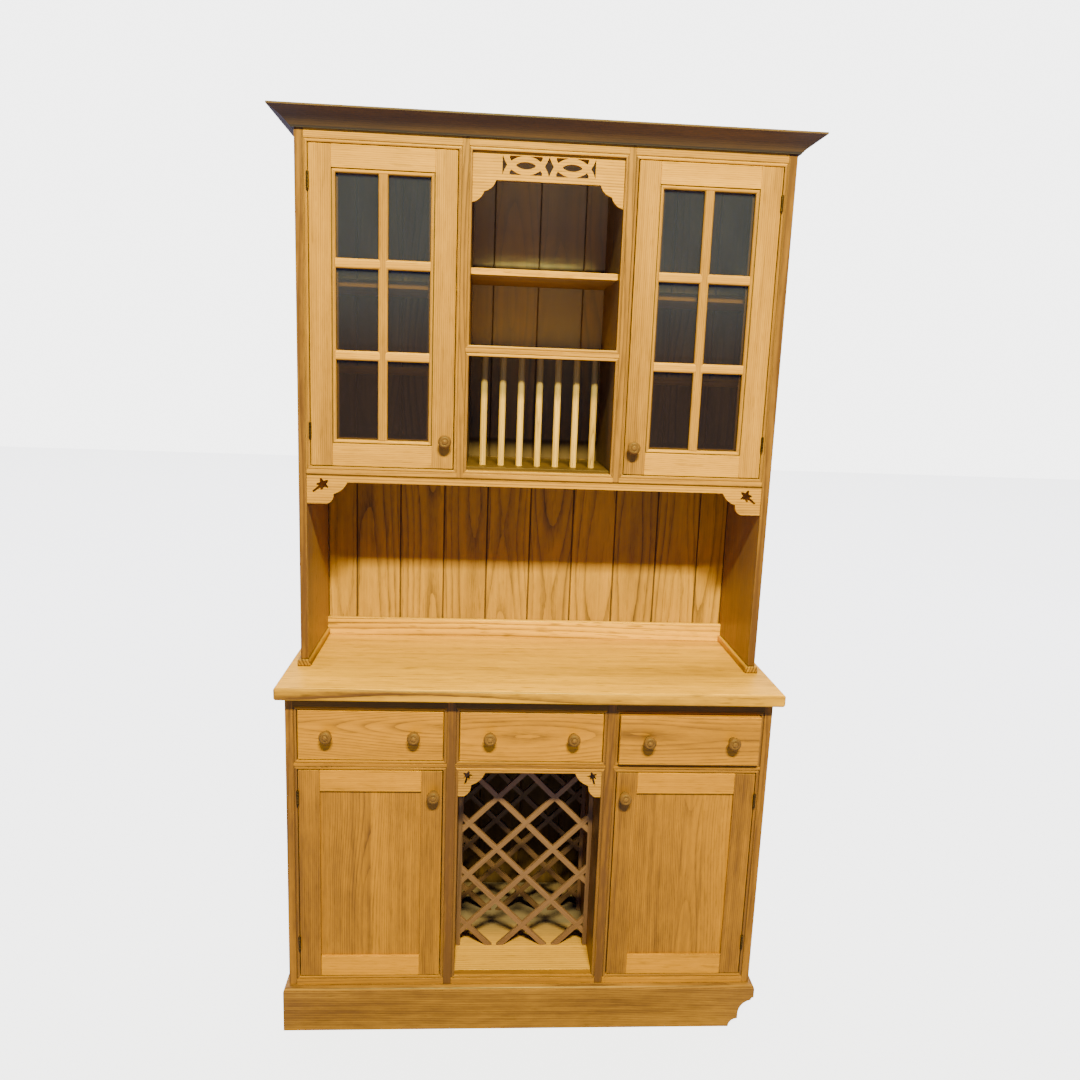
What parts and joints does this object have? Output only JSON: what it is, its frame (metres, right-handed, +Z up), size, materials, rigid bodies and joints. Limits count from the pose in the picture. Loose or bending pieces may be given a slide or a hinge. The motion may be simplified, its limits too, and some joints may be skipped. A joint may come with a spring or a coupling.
{
  "type": "kitchen_dresser",
  "caption": "Oak kitchen dresser with a glazed upper cabinet, plate rack and pierced frieze over drawers, panelled doors and a lattice wine rack, modelled closed with one drawer ajar",
  "frame": {"origin": "on the floor under the middle of the bounding box", "axes": "+Z up from the floor to the cornice, -Y out of the front, +X to the right of someone who faces the front"},
  "size_m": [1.223, 0.4624, 2.1693],
  "materials": {
    "oak": "satin lacquered oak with open grain",
    "turned_oak": "satin lacquered turned oak",
    "glass": "clear float glass",
    "hinge_brass": "dark antiqued"
  },
  "bodies": {
    "carcass": {"base_back": "oak", "base_divider_left": "oak", "base_divider_right": "oak", "base_face_frame": "oak", "base_floor": "oak", "base_side_left": "oak", "base_side_right": "oak", "cornice": "oak", "fret_frieze": "oak", "hinge_base_left_lower": "hinge_brass", "hinge_base_left_upper": "hinge_brass", "hinge_base_right_lower": "hinge_brass", "hinge_base_right_upper": "hinge_brass", "hinge_glazed_left_lower": "hinge_brass", "hinge_glazed_left_upper": "hinge_brass", "hinge_glazed_right_lower": "hinge_brass", "hinge_glazed_right_upper": "hinge_brass", "hutch_back": "oak", "hutch_divider_left": "oak", "hutch_divider_right": "oak", "hutch_face_frame": "oak", "hutch_floor": "oak", "hutch_foot_rail": "oak", "hutch_side_left": "oak", "hutch_side_right": "oak", "pelmet": "oak", "plate_rack": "oak", "plinth": "oak", "shelf_bay": "oak", "shelf_left_lower": "oak", "shelf_left_upper": "oak", "shelf_right_lower": "oak", "shelf_right_upper": "oak", "wine_rack_front": "oak", "wine_rack_rear": "oak", "worktop": "oak"},
    "drawer_left": {"drawer_left_front": "oak", "drawer_left_box": "oak", "drawer_left_knob_left": "turned_oak", "drawer_left_knob_right": "turned_oak"},
    "drawer_centre": {"drawer_centre_front": "oak", "drawer_centre_box": "oak", "drawer_centre_knob_left": "turned_oak", "drawer_centre_knob_right": "turned_oak"},
    "drawer_right": {"drawer_right_front": "oak", "drawer_right_box": "oak", "drawer_right_knob_left": "turned_oak", "drawer_right_knob_right": "turned_oak"},
    "door_base_left": {"door_base_left_frame": "oak", "door_base_left_panel": "oak", "door_base_left_knob": "turned_oak"},
    "door_base_right": {"door_base_right_frame": "oak", "door_base_right_panel": "oak", "door_base_right_knob": "turned_oak"},
    "door_glazed_left": {"door_glazed_left_frame": "oak", "door_glazed_left_glass": "glass", "door_glazed_left_knob": "turned_oak"},
    "door_glazed_right": {"door_glazed_right_frame": "oak", "door_glazed_right_glass": "glass", "door_glazed_right_knob": "turned_oak"}
  },
  "joints": [
    {"name": "drawer_left_slide", "type": "slide", "parent": "carcass", "child": "drawer_left", "axis": [0, -1, 0], "range_m": [0, 0.3]},
    {"name": "drawer_centre_slide", "type": "slide", "parent": "carcass", "child": "drawer_centre", "axis": [0, -1, 0], "range_m": [0, 0.3]},
    {"name": "drawer_right_slide", "type": "slide", "parent": "carcass", "child": "drawer_right", "axis": [0, -1, 0], "range_m": [-0.012, 0.288]},
    {"name": "door_base_left_hinge", "type": "hinge", "parent": "carcass", "child": "door_base_left", "pos_m": [-0.549, -0.19235, 0.41195], "axis": [0, 0, -1], "range_deg": [0, 110]},
    {"name": "door_base_right_hinge", "type": "hinge", "parent": "carcass", "child": "door_base_right", "pos_m": [0.549, -0.19235, 0.41195], "axis": [0, 0, 1], "range_deg": [0, 110]},
    {"name": "door_glazed_left_hinge", "type": "hinge", "parent": "carcass", "child": "door_glazed_left", "pos_m": [-0.5338, -0.06995, 1.7476], "axis": [0, 0, -1], "range_deg": [0, 110]},
    {"name": "door_glazed_right_hinge", "type": "hinge", "parent": "carcass", "child": "door_glazed_right", "pos_m": [0.5338, -0.06995, 1.7476], "axis": [0, 0, 1], "range_deg": [0, 110]}
  ]
}
